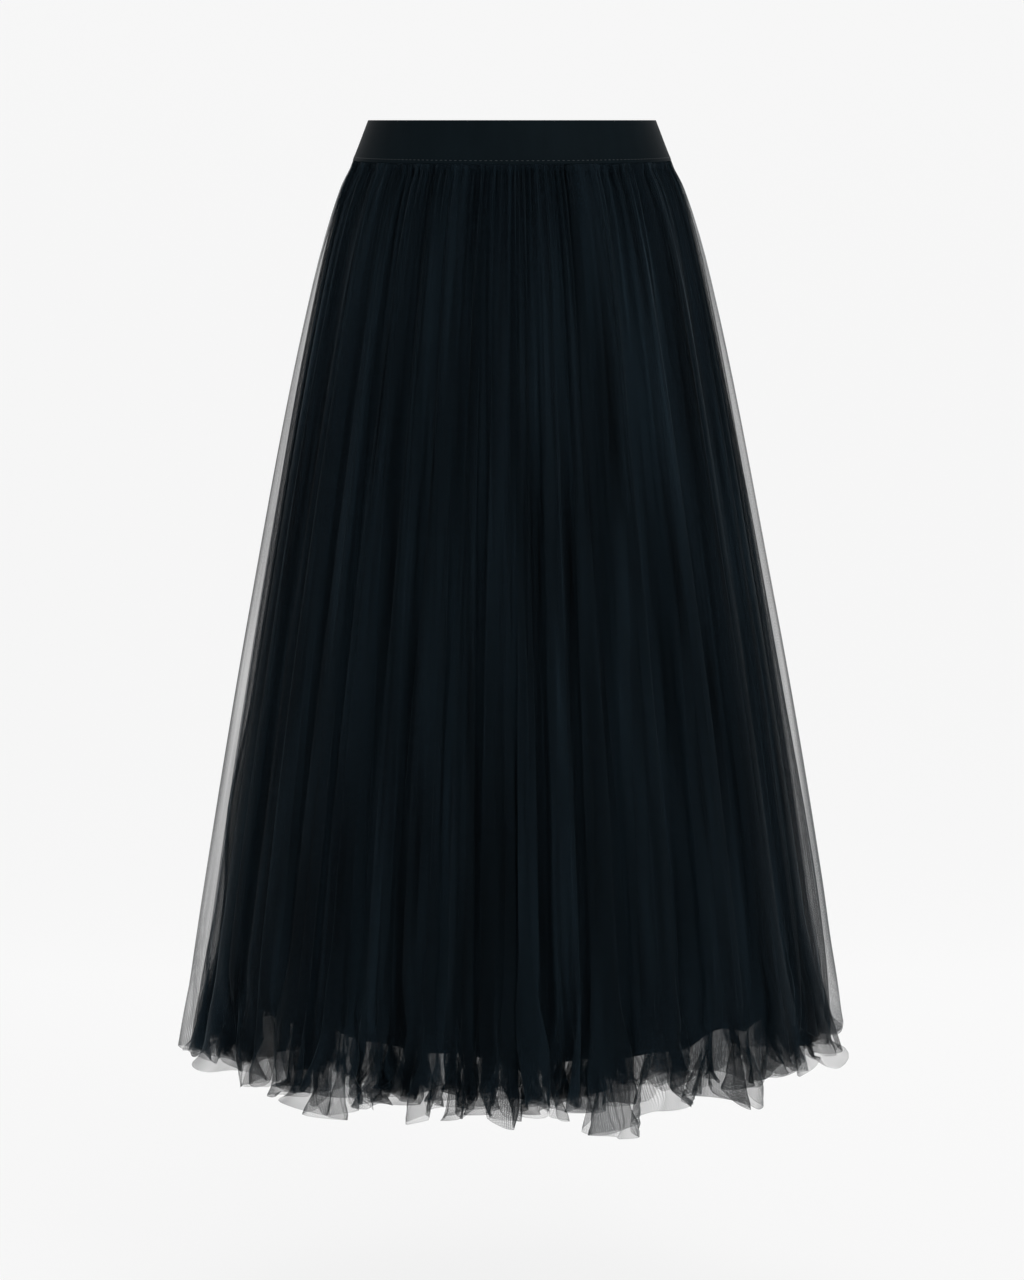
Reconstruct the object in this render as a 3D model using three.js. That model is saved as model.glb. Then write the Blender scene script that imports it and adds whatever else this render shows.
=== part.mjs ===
import * as THREE from "three";

// A gathered net midi skirt in its worn, hollow form: an elastic waistband, four rounds of net
// gathered into it one inside the other, and an opaque lining that ends above the net's hem.
// Sizes are in millimetres. +Z is up, -Y is the front, and +X is on the right of the front view.
// A drop is measured down from the waistband's top edge. The origin is the middle of the waist
// opening, halfway down the band, where a waist holds the skirt up.

const GRIP_DROP = 17;
const SEAM_GAP = 0.3;

// The band leans out with the body, and its lower edge dips at the front.
const BAND = { sideDrop: 34.25, frontDip: 2.25, wall: 3, pointsAround: 96 };

const NET_WALL = 1.1;
const LINING_WALL = 1;
const LINING_CLEARANCE = 0.5;

// The garment's outline at each drop, on the crests of the outermost round. foldDepth is how far
// a fold runs in from crest to trough, and layerGap is how far apart the rounds of net lie.
// backShift moves a section towards the back, where the seat fills the skirt out. sideFold is how
// far the one fold at each side stands out past its neighbours.
const SECTIONS = [
  { drop: 0, halfWidth: 124, halfDepth: 96, backShift: 0, foldDepth: 0, layerGap: 1.5, sideFold: 0 },
  { drop: 34, halfWidth: 137.5, halfDepth: 107, backShift: 1, foldDepth: 2.4, layerGap: 1.5, sideFold: 0 },
  { drop: 58, halfWidth: 149, halfDepth: 119, backShift: 3, foldDepth: 3.4, layerGap: 1.8, sideFold: 0.5 },
  { drop: 130, halfWidth: 169, halfDepth: 140, backShift: 8, foldDepth: 5.6, layerGap: 2.4, sideFold: 2.5 },
  { drop: 420, halfWidth: 224, halfDepth: 192, backShift: 10, foldDepth: 11.5, layerGap: 3.3, sideFold: 6 },
  { drop: 700, halfWidth: 268, halfDepth: 232, backShift: 10, foldDepth: 18, layerGap: 4.8, sideFold: 10 },
  { drop: 840, halfWidth: 288, halfDepth: 251, backShift: 10, foldDepth: 27, layerGap: 6.6, sideFold: 12 },
];

// The troughs between the main folds, in degrees round the body, 0 at the front and growing
// towards +X. Those in front were placed by hand from the photo, and the others are similar. One
// fold faces each side.
const FOLD_EDGES = [
  -171, -160, -153, -139, -132, -121, -115, -104, -94, -86, -76, -62,
  -46.5, -39.5, -29.4, -22.8, -12.5, -7.8, 0.6, 5.2, 13.6, 19.6, 35.7, 48.7,
  66, 78, 86, 94, 103, 116, 122, 136, 143, 157, 165, 178,
];
const FOLD_COUNT = FOLD_EDGES.length;
const POINTS_PER_FOLD = 4;

// A turn angle u runs evenly through the folds and starts at the first trough. A trough is
// depthShare times as deep, for its narrower neighbour's width over the mean width, as a section's
// foldDepth says, but keeps between least and most. A side fold has died away sideReach mean folds
// from its crest. The sway bends the folds sideways.
const FIRST_TURN = -175;
const FOLD_DEPTHS = { depthShare: 1.3, least: 0.5, most: 1.2 };
const SIDE_FOLD_REACH = 0.5;
const SWAY = { waves: 4, amount: 0.2, start: 0.9, fromDrop: 130, toDrop: 820 };

// The rounds of net from the outside in. depthIn is how many layer gaps a round lies inside the
// outline, and sideShare how much of the side folds it has. hemDrop is the mean length, lean turns
// a round's folds past the next round's, and ragged is how far its cut edge wanders up and down.
const NET_ROUNDS = [
  { name: "tulle_layer_1", depthIn: 0, sideShare: 1, hemDrop: 816, lean: 0.18, ragged: 8, start: 0.2 },
  { name: "tulle_layer_2", depthIn: 1.8, sideShare: 0.4, hemDrop: 808, lean: 0.06, ragged: 9, start: 1.9 },
  { name: "tulle_layer_3", depthIn: 2.8, sideShare: 0.2, hemDrop: 798, lean: -0.06, ragged: 9, start: 3.4 },
  { name: "tulle_layer_4", depthIn: 3.8, sideShare: 0, hemDrop: 787, lean: -0.18, ragged: 9, start: 5.1 },
];
const NET_RING_DROPS = [58, 130, 420, 700];
const HEM_WAVES = [
  { waves: 7, amount: 0.45, start: 0.7 },
  { waves: 13, amount: 0.35, start: 1.3 },
  { waves: 22, amount: 0.4, start: 2.9 },
];

// Tongues are short stretches where a fold of the hem hangs lower. Angles are in degrees round
// the body, 0 at the front and growing towards +X, and each belongs to one round of net.
const HEM_TONGUES = [
  { round: 1, angle: -158, spread: 5, reach: 13 },
  { round: 2, angle: -131, spread: 6, reach: 10 },
  { round: 0, angle: -104, spread: 5, reach: 12 },
  { round: 2, angle: -80, spread: 6, reach: 8 },
  { round: 1, angle: -52, spread: 5, reach: 9 },
  { round: 0, angle: -32, spread: 6, reach: 11 },
  { round: 2, angle: -20, spread: 4, reach: 12 },
  { round: 3, angle: -6, spread: 4, reach: 15 },
  { round: 0, angle: 19, spread: 5, reach: 21 },
  { round: 1, angle: 39, spread: 7, reach: 8 },
  { round: 2, angle: 64, spread: 5, reach: 11 },
  { round: 1, angle: 96, spread: 5, reach: 12 },
  { round: 0, angle: 121, spread: 6, reach: 9 },
  { round: 3, angle: 147, spread: 5, reach: 14 },
  { round: 0, angle: 172, spread: 5, reach: 10 },
];

// The lining's hem hangs hemDip lower at the front than at the sides.
const LINING = { hemDrop: 779, hemDip: 9, flutes: 18, fluteShare: 0.22, pointsPerFlute: 4, start: 0.6 };
const LINING_RING_DROPS = [58, 130, 420];

const COLOURS = { band: 0x14181c, net: 0x101418, lining: 0x0b0d10 };

// The outline at a drop, in straight lines between the sections.
function sectionAt(drop) {
  const last = SECTIONS.length - 1;
  const above = Math.max(0, SECTIONS.findLastIndex((row) => row.drop <= drop));
  const upper = SECTIONS[Math.min(above, last - 1)];
  const lower = SECTIONS[Math.min(above, last - 1) + 1];
  const share = (drop - upper.drop) / (lower.drop - upper.drop);
  const between = (column) => THREE.MathUtils.lerp(upper[column], lower[column], share);
  return {
    halfWidth: between("halfWidth"),
    halfDepth: between("halfDepth"),
    backShift: between("backShift"),
    foldDepth: between("foldDepth"),
    layerGap: between("layerGap"),
    sideFold: between("sideFold"),
  };
}

// A sum of sine waves round the body, from a table of them.
function sumOfWaves(table, angle) {
  return table.reduce((sum, row) => sum + row.amount * Math.sin(row.waves * angle + row.start), 0);
}

// The band's lower edge, and so the seam, at an angle round the body. 0 is the front.
function seamDrop(angle) {
  return BAND.sideDrop + BAND.frontDip * Math.cos(angle);
}

// A point on the outline taken in by inset. The angle is 0 at the front and grows towards +X.
function pointOnOutline(section, angle, inset, drop) {
  return new THREE.Vector3(
    (section.halfWidth - inset) * Math.sin(angle),
    section.backShift - (section.halfDepth - inset) * Math.cos(angle),
    GRIP_DROP - drop,
  );
}

// A trough's place round the body in degrees. The number may run past either end of the table.
function foldEdge(number) {
  const turns = Math.floor(number / FOLD_COUNT);
  return FOLD_EDGES[number - turns * FOLD_COUNT] + 360 * turns;
}

// How many folds a turn angle lies past the first trough.
function foldsPastFirst(u) {
  return ((THREE.MathUtils.radToDeg(u) - FIRST_TURN) * FOLD_COUNT) / 360;
}

// Where turn angle u stands round the body before the folds lean or sway.
function straightAngle(u) {
  const past = foldsPastFirst(u);
  const before = Math.floor(past);
  const angle = THREE.MathUtils.lerp(foldEdge(before), foldEdge(before + 1), past - before);
  return THREE.MathUtils.degToRad(angle);
}

// Where the fold at turn angle u stands round the body, at a drop.
function foldAngle(u, lean, drop) {
  const swing = THREE.MathUtils.smoothstep(drop, SWAY.fromDrop, SWAY.toDrop);
  const sideways = SWAY.amount * Math.sin(SWAY.waves * u + SWAY.start) + lean;
  return straightAngle(u) + (sideways * swing) / FOLD_COUNT;
}

// How deep the trough nearest to turn angle u is, as a share of the section's foldDepth.
function troughShare(u) {
  const nearest = Math.round(foldsPastFirst(u));
  const before = foldEdge(nearest) - foldEdge(nearest - 1);
  const after = foldEdge(nearest + 1) - foldEdge(nearest);
  const narrower = (Math.min(before, after) * FOLD_COUNT) / 360;
  const share = FOLD_DEPTHS.depthShare * narrower;
  return THREE.MathUtils.clamp(share, FOLD_DEPTHS.least, FOLD_DEPTHS.most);
}

// How much of the side fold there is at turn angle u: 1 on a side's crest, 0 away from it.
function sideFoldShare(u) {
  const foldsAway = (Math.abs(Math.cos(straightAngle(u))) * FOLD_COUNT) / (2 * Math.PI);
  return Math.max(0, 1 - foldsAway / SIDE_FOLD_REACH);
}

// How far the net lies inside the outline at turn angle u.
function netInset(u, section, round) {
  const fold = (section.foldDepth * troughShare(u) * (1 - Math.cos(FOLD_COUNT * u))) / 2;
  const side = section.sideFold * round.sideShare * sideFoldShare(u);
  return round.depthIn * section.layerGap + fold - side;
}

// How much lower a round's hem hangs at an angle round the body, because of its tongues.
function tongueReach(number, angle) {
  return HEM_TONGUES.filter((row) => row.round === number).reduce((sum, row) => {
    const apart = THREE.MathUtils.radToDeg(angle) - row.angle;
    const turned = THREE.MathUtils.euclideanModulo(apart + 180, 360) - 180;
    return sum + row.reach * Math.exp(-((turned / row.spread) ** 2));
  }, 0);
}

// A closed ring of points, one for each turn angle, from a function of the angle.
function ring(count, pointAt) {
  return Array.from({ length: count }, (_, i) => pointAt((i / count) * 2 * Math.PI));
}

// The same ring taken in by a wall's thickness, square to the cloth and mitred at its folds.
function takenIn(points, wall) {
  const count = points.length;
  return points.map((point, i) => {
    const before = new THREE.Vector3().subVectors(point, points[(i + count - 1) % count]);
    const after = new THREE.Vector3().subVectors(points[(i + 1) % count], point);
    const inBefore = new THREE.Vector2(-before.y, before.x).normalize();
    const inAfter = new THREE.Vector2(-after.y, after.x).normalize();
    const inward = inBefore.clone().add(inAfter).normalize();
    const reach = wall / Math.max(inward.dot(inAfter), 0.5);
    return new THREE.Vector3(point.x + inward.x * reach, point.y + inward.y * reach, point.z);
  });
}

// A closed wall of cloth from its outer rings, listed from the top down.
function clothWall(outerRings, wall) {
  const around = outerRings[0].length;
  const innerRings = outerRings.map((points) => takenIn(points, wall));
  const loop = [...outerRings, ...innerRings.reverse()];
  const positions = loop.flat().flatMap((point) => [point.x, point.y, point.z]);
  const indices = [];
  loop.forEach((_, row) => {
    const upper = row * around;
    const lower = ((row + 1) % loop.length) * around;
    for (let i = 0; i < around; i++) {
      const next = (i + 1) % around;
      indices.push(upper + i, lower + i, upper + next);
      indices.push(upper + next, lower + i, lower + next);
    }
  });
  const geometry = new THREE.BufferGeometry();
  geometry.setAttribute("position", new THREE.Float32BufferAttribute(positions, 3));
  geometry.setIndex(indices);
  geometry.computeVertexNormals();
  return geometry;
}

function clothMesh(name, geometry, color, roughness, opacity = 1) {
  const material = new THREE.MeshStandardMaterial({
    color,
    roughness,
    metalness: 0,
    opacity,
    transparent: opacity < 1,
  });
  const mesh = new THREE.Mesh(geometry, material);
  mesh.name = name;
  return mesh;
}

// The elastic waistband, a closed round with a flat top edge.
function waistband() {
  const edge = (dropAt) =>
    ring(BAND.pointsAround, (angle) => {
      const drop = dropAt(angle);
      return pointOnOutline(sectionAt(drop), angle, 0, drop);
    });
  const rings = [edge(() => 0), edge((angle) => seamDrop(angle) / 2), edge(seamDrop)];
  return clothMesh("waistband", clothWall(rings, BAND.wall), COLOURS.band, 0.75);
}

// One round of gathered net, from the seam down to its ragged cut edge.
function netRound(round, number) {
  const count = FOLD_COUNT * POINTS_PER_FOLD;
  const ringAt = (dropAt) =>
    ring(count, (u) => {
      const drop = dropAt(u);
      const section = sectionAt(drop);
      const inset = netInset(u, section, round);
      return pointOnOutline(section, foldAngle(u, round.lean, drop), inset, drop);
    });
  const seam = (u) => seamDrop(foldAngle(u, round.lean, 0)) + SEAM_GAP;
  const hem = (u) => {
    const wander = round.ragged * sumOfWaves(HEM_WAVES, u + round.start);
    return round.hemDrop + wander + tongueReach(number, foldAngle(u, round.lean, round.hemDrop));
  };
  const rings = [ringAt(seam), ...NET_RING_DROPS.map((drop) => ringAt(() => drop)), ringAt(hem)];
  return clothMesh(round.name, clothWall(rings, NET_WALL), COLOURS.net, 0.8, 0.35);
}

// The lining, softly fluted, just inside the innermost round of net.
function lining() {
  const innermost = NET_ROUNDS.at(-1).depthIn;
  const ringAt = (dropAt) =>
    ring(LINING.flutes * LINING.pointsPerFlute, (angle) => {
      const drop = dropAt(angle);
      const section = sectionAt(drop);
      const netDepth = innermost * section.layerGap + section.foldDepth * FOLD_DEPTHS.most;
      const flute = section.foldDepth * LINING.fluteShare;
      const wave = (1 - Math.cos(LINING.flutes * angle + LINING.start)) / 2;
      const inset = netDepth + NET_WALL + LINING_CLEARANCE + flute * wave;
      return pointOnOutline(section, angle, inset, drop);
    });
  const rings = [
    ringAt((angle) => seamDrop(angle) + SEAM_GAP),
    ...LINING_RING_DROPS.map((drop) => ringAt(() => drop)),
    ringAt((angle) => LINING.hemDrop + LINING.hemDip * Math.cos(angle)),
  ];
  return clothMesh("lining", clothWall(rings, LINING_WALL), COLOURS.lining, 0.7);
}

const skirt = new THREE.Group();
skirt.name = "skirt";
skirt.add(waistband(), ...NET_ROUNDS.map(netRound), lining());

export default skirt;
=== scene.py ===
"""A gathered net midi skirt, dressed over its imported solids.

Four rounds of sheer net hang from an elastic waistband over an opaque lining. Each round is one
sheet of net, folded along the same main folds as its solid, with the finer gathers, ruffles and
creases that the solid leaves out. Lengths are in metres. A drop is measured down from the
waistband's top edge, and angles run round the body from 0 at the front towards +X.
"""
import logging
import math
from dataclasses import dataclass
from enum import Enum

import bpy
import numpy as np
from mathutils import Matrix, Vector


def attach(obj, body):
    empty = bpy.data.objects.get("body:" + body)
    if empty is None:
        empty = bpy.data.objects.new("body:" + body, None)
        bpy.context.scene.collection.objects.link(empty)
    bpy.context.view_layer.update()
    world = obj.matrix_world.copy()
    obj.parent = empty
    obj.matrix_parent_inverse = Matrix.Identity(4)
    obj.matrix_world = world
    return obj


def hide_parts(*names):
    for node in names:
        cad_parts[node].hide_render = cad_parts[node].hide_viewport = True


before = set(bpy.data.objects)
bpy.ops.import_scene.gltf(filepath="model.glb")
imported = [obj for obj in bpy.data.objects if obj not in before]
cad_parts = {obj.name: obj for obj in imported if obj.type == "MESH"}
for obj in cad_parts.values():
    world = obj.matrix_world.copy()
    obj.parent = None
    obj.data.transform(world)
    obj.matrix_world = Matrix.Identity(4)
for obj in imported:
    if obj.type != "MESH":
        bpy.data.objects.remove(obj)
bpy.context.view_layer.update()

LOG = logging.getLogger("skirt")
BODY = "root"
TURN = 2 * math.pi

# The origin is where the body holds the skirt, a grip's drop below the band's top edge. The band's
# lower edge dips at the front. The sheets start a seam gap below it, drawn together to a share of
# their distances, and stand fully apart a seam reach further down.
GRIP_DROP = 0.017
BAND_SIDE_DROP = 0.03425
BAND_FRONT_DIP = 0.00225
BAND_WALL = 0.0024
SEAM_GAP = 0.0003
SEAM_SHARE = 0.2
SEAM_REACH = 0.014

RGBA = tuple[float, float, float, float]
WHITE: RGBA = (1.0, 1.0, 1.0, 1.0)


@dataclass(frozen=True)
class Section:
    """The garment's outline at one drop, and how its net is folded there."""

    drop: float
    half_width: float
    half_depth: float
    back_shift: float
    fold_depth: float
    layer_gap: float
    side_fold: float


@dataclass(frozen=True)
class Wave:
    """One sine wave round the body."""

    waves: int
    amount: float
    start: float


@dataclass(frozen=True)
class Tongue:
    """A short stretch of a hem that hangs lower, or higher where its reach is negative."""

    angle: float
    spread: float
    reach: float


SECTIONS = (
    Section(0.000, 0.1240, 0.096, 0.000, 0.0000, 0.0015, 0.0000),
    Section(0.034, 0.1375, 0.107, 0.001, 0.0024, 0.0015, 0.0000),
    Section(0.058, 0.1490, 0.119, 0.003, 0.0034, 0.0018, 0.0005),
    Section(0.130, 0.1690, 0.140, 0.008, 0.0056, 0.0024, 0.0025),
    Section(0.420, 0.2240, 0.192, 0.010, 0.0115, 0.0033, 0.0060),
    Section(0.700, 0.2680, 0.232, 0.010, 0.0180, 0.0048, 0.0100),
    Section(0.840, 0.2880, 0.251, 0.010, 0.0270, 0.0066, 0.0120),
)


def sum_of_waves(table: tuple[Wave, ...], angle: np.ndarray) -> np.ndarray:
    """Adds up a table of sine waves.

    Args:
        table: The waves.
        angle: Where they are read, in radians.

    Returns:
        Their sum at each angle.
    """
    return sum(row.amount * np.sin(row.waves * angle + row.start) for row in table)


def smooth_step(low: float, high: float, value: np.ndarray) -> np.ndarray:
    """Rises smoothly from 0 at low to 1 at high."""
    share = np.clip((value - low) / (high - low), 0.0, 1.0)
    return share * share * (3 - 2 * share)


def smooth_rise(first: float, reach: float, value: np.ndarray) -> np.ndarray:
    """Rises smoothly from a first share at 0 to 1 at its reach."""
    return first + (1 - first) * smooth_step(0.0, reach, value)


def seam_drop(angle: np.ndarray) -> np.ndarray:
    """How far the band's lower edge lies below its top edge, at an angle round the body."""
    return BAND_SIDE_DROP + BAND_FRONT_DIP * np.cos(angle)


class Outline:
    """The garment's form between its sections, read smoothly at any drop."""

    def __init__(self, sections: tuple[Section, ...]) -> None:
        """Keeps the sections' columns and their slopes.

        Args:
            sections: The sections, from the top down.
        """
        self.drops = np.array([row.drop for row in sections])
        self.columns: dict[str, np.ndarray] = {}
        self.slopes: dict[str, np.ndarray] = {}
        for name in Section.__dataclass_fields__:
            values = np.array([getattr(row, name) for row in sections])
            self.columns[name] = values
            self.slopes[name] = self._slopes(values)

    def _slopes(self, values: np.ndarray) -> np.ndarray:
        """Finds a slope at each section that makes no bump between two of them.

        Args:
            values: One column of the sections.

        Returns:
            The column's slope at each section.
        """
        steps = np.diff(values) / np.diff(self.drops)
        before, after = steps[:-1], steps[1:]
        same_way = before * after > 0
        total = np.where(same_way, before + after, 1.0)
        inner = np.where(same_way, 2 * before * after / total, 0.0)
        return np.concatenate([steps[:1], inner, steps[-1:]])

    def read(self, name: str, drop: np.ndarray) -> np.ndarray:
        """Reads one column of the sections.

        Args:
            name: The column's name.
            drop: The drops to read it at.

        Returns:
            Its value at each drop, carried on straight past the last section.
        """
        values, slopes = self.columns[name], self.slopes[name]
        row = np.clip(np.searchsorted(self.drops, drop) - 1, 0, len(values) - 2)
        span = self.drops[row + 1] - self.drops[row]
        share = np.clip((drop - self.drops[row]) / span, 0.0, 1.0)
        rest = 1 - share
        upper = (1 + 2 * share) * rest**2 * values[row] + share * rest**2 * span * slopes[row]
        lower = share**2 * (3 - 2 * share) * values[row + 1]
        lower -= share**2 * rest * span * slopes[row + 1]
        past = np.maximum(drop - self.drops[-1], 0.0) * slopes[-1]
        return upper + lower + past

    def points(self, angle: np.ndarray, inset: np.ndarray, drop: np.ndarray) -> np.ndarray:
        """Places points on the outline, taken in by an inset.

        Args:
            angle: Angles round the body.
            inset: How far inside the outline each point lies.
            drop: How far down each point lies.

        Returns:
            An array with x, y and z on its last axis.
        """
        wide = self.read("half_width", drop) - inset
        deep = self.read("half_depth", drop) - inset
        x = wide * np.sin(angle)
        y = self.read("back_shift", drop) - deep * np.cos(angle)
        return np.stack(np.broadcast_arrays(x, y, GRIP_DROP - drop), axis=-1)


def seam_share(below: np.ndarray) -> np.ndarray:
    """How far the sheets are apart at a distance below the seam, where they come together."""
    return smooth_rise(SEAM_SHARE, SEAM_REACH, below)


@dataclass(frozen=True)
class FoldPlan:
    """The main folds, which every round of net shares.

    Each fold is a flat panel between two edges. The edges were placed from the front view, and the ones
    on the sides and the back are similar. One panel faces each side.
    """

    edges: tuple[float, ...] = (
        -171.0, -160.0, -153.0, -139.0, -132.0, -121.0, -115.0, -104.0, -94.0, -86.0, -76.0, -62.0,
        -46.5, -39.5, -29.4, -22.8, -12.5, -7.8, 0.6, 5.2, 13.6, 19.6, 35.7, 48.7,
        66.0, 78.0, 86.0, 94.0, 103.0, 116.0, 122.0, 136.0, 143.0, 157.0, 165.0, 178.0,
    )
    first_turn: float = -175.0
    depth_per_width: float = 1.3
    least_depth: float = 0.5
    most_depth: float = 1.2
    sway: tuple[Wave, ...] = (Wave(4, 0.20, 0.9), Wave(11, 0.12, 0.2))
    sway_from: float = 0.13
    sway_to: float = 0.82
    side_reach: float = 0.5
    outward_lean: float = 0.8
    leans: tuple[Wave, ...] = (Wave(6, 0.25, 0.3), Wave(13, 0.35, 1.7))
    overhangs: tuple[Wave, ...] = (Wave(8, 0.30, 2.2), Wave(15, 0.25, 0.5))
    overhang_at_hem: float = 0.9
    tilt_from: float = 0.04
    tilt_to: float = 0.60
    flatness_at_hem: float = 1.5
    flatness_at_seam: float = 0.3
    flat_from: float = 0.05
    flat_to: float = 0.70
    depth_kept: float = 0.62

    @property
    def count(self) -> int:
        """How many folds there are."""
        return len(self.edges)

    def base_angle(self, u: np.ndarray) -> np.ndarray:
        """Finds where each turn angle stands round the body, from the panels' widths.

        Args:
            u: Turn angles, which run evenly through the folds.

        Returns:
            Angles round the body.
        """
        first = math.radians(self.first_turn)
        even = first + np.arange(self.count + 1) * TURN / self.count
        placed = np.radians([*self.edges, self.edges[0] + 360.0])
        turned = (u - first) % TURN + first
        return np.interp(turned, even, placed) + u - turned

    def trough_share(self, u: np.ndarray) -> np.ndarray:
        """Finds how deep the nearest trough is, from the width of its narrower neighbour.

        Args:
            u: Turn angles.

        Returns:
            The depth at each turn angle, as a share of the outline's fold depth.
        """
        widths = np.diff([*self.edges, self.edges[0] + 360.0]) * self.count / 360.0
        narrower = np.minimum(widths, np.roll(widths, 1))
        shares = np.clip(self.depth_per_width * narrower, self.least_depth, self.most_depth)
        past = (np.degrees(u) - self.first_turn) * self.count / 360.0
        return shares[np.rint(past).astype(int) % self.count]

    def angle(self, u: np.ndarray, lean: float, drop: np.ndarray) -> np.ndarray:
        """Finds where the folds stand round the body.

        Args:
            u: Turn angles, which run evenly through the folds.
            lean: How far this round's folds lean past the next round's.
            drop: How far down each point lies.

        Returns:
            Angles round the body.
        """
        swing = smooth_step(self.sway_from, self.sway_to, drop)
        sideways = sum_of_waves(self.sway, u + lean) + lean
        phase = self.count * u
        down = smooth_step(self.tilt_from, self.tilt_to, drop)
        over = self.overhang_at_hem * (1 + sum_of_waves(self.overhangs, u)) * down
        tilt = sum_of_waves(self.leans, u) - self.outward_lean * np.sin(u)
        calm = 1 - self.side_share(u)
        folded = (over * np.sin(2 * phase) + tilt * down * (1 - np.cos(phase))) * calm
        return self.base_angle(u) + (sideways * swing + folded) / self.count

    def depth_share(self, u: np.ndarray, drop: np.ndarray) -> np.ndarray:
        """Finds how deep each point lies in its fold, with flatter folds lower down.

        Args:
            u: Turn angles.
            drop: How far down each point lies.

        Returns:
            Shares of the outline's fold depth, 0 on a crest.
        """
        down = smooth_step(self.flat_from, self.flat_to, drop)
        flatness = self.flatness_at_seam + (self.flatness_at_hem - self.flatness_at_seam) * down
        wave = np.tanh(flatness * np.cos(self.count * u)) / np.tanh(flatness)
        kept = 1 - (1 - self.depth_kept) * down * (1 - self.side_share(u))
        return kept * self.trough_share(u) * (1 - wave) / 2

    def side_share(self, u: np.ndarray) -> np.ndarray:
        """How much of the side fold there is: 1 in the middle of a side's panel, 0 away from it."""
        folds_away = np.abs(np.cos(self.base_angle(u))) * self.count / TURN
        return np.maximum(0.0, 1 - folds_away / self.side_reach)


@dataclass(frozen=True)
class RowSpan:
    """A stretch of a sheet from one share of its length to another, and its rows of faces."""

    start: float
    end: float
    rows: int


def row_shares(spans: tuple[RowSpan, ...]) -> np.ndarray:
    """Lists where a sheet's rows of points lie.

    Args:
        spans: Stretches of the sheet from the top down, that meet end to end.

    Returns:
        Shares of the length, as a column.
    """
    shares = [np.linspace(row.start, row.end, row.rows, endpoint=False) for row in spans]
    return np.concatenate([*shares, [spans[-1].end]])[:, None]


class SheetMesh:
    """Makes a tube of cloth from a grid of points, with its flat cloth as the UV map."""

    def __init__(self, name: str, points: np.ndarray, across: np.ndarray, along: np.ndarray) -> None:
        """Builds the mesh.

        Args:
            name: The piece's name.
            points: Rows of points from the top down, each a closed round, with x, y and z.
            across: Where each column lies on the flat cloth, and past the last one its width.
            along: How far each point lies above the hem on the flat cloth.
        """
        rows, columns = points.shape[:2]
        row, column = np.meshgrid(np.arange(rows - 1), np.arange(columns), indexing="ij")
        after = (column + 1) % columns
        corners = np.stack([(row, column), (row + 1, column), (row + 1, after), (row, after)])
        faces = (corners[:, 0] * columns + corners[:, 1]).transpose(1, 2, 0).reshape(-1, 4)
        mesh = bpy.data.meshes.new(name)
        mesh.from_pydata(points.reshape(-1, 3).tolist(), [], faces.tolist())
        wide = np.stack([across[column], across[column], across[column + 1], across[column + 1]])
        high = np.stack([along[row, column], along[row + 1, column]])
        high = np.stack([high[0], high[1], along[row + 1, after], along[row, after]])
        flat = np.stack([wide, high], axis=-1).transpose(1, 2, 0, 3).reshape(-1)
        mesh.uv_layers.new(name="cloth").data.foreach_set("uv", flat)
        self.mesh = mesh
        self.piece = bpy.data.objects.new(name, mesh)
        bpy.context.scene.collection.objects.link(self.piece)

    def add_number(self, name: str, values: np.ndarray) -> None:
        """Stores a number at each point, for the material to read."""
        layer = self.mesh.attributes.new(name, "FLOAT", "POINT")
        layer.data.foreach_set("value", values.astype(np.float32).ravel())

    def smoothed(self) -> bpy.types.Object:
        """Shades the sheet smooth.

        Returns:
            The piece.
        """
        only(self.piece)
        bpy.ops.object.shade_smooth()
        return self.piece


def only(piece: bpy.types.Object) -> None:
    """Selects one piece alone and makes it active.

    Args:
        piece: The piece.
    """
    bpy.ops.object.select_all(action="DESELECT")
    piece.select_set(True)
    bpy.context.view_layer.objects.active = piece


def dress(piece: bpy.types.Object, material: bpy.types.Material, slot: str, *nodes: str) -> None:
    """Gives a piece its finish and its place in the frame.

    Args:
        piece: The finished piece.
        material: Its material.
        slot: A material slot's name; not used.
        nodes: The solids that it stands for.
    """
    piece.data.materials.clear()
    piece.data.materials.append(material)
    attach(piece, BODY)
    if nodes:
        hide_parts(*nodes)


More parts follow.
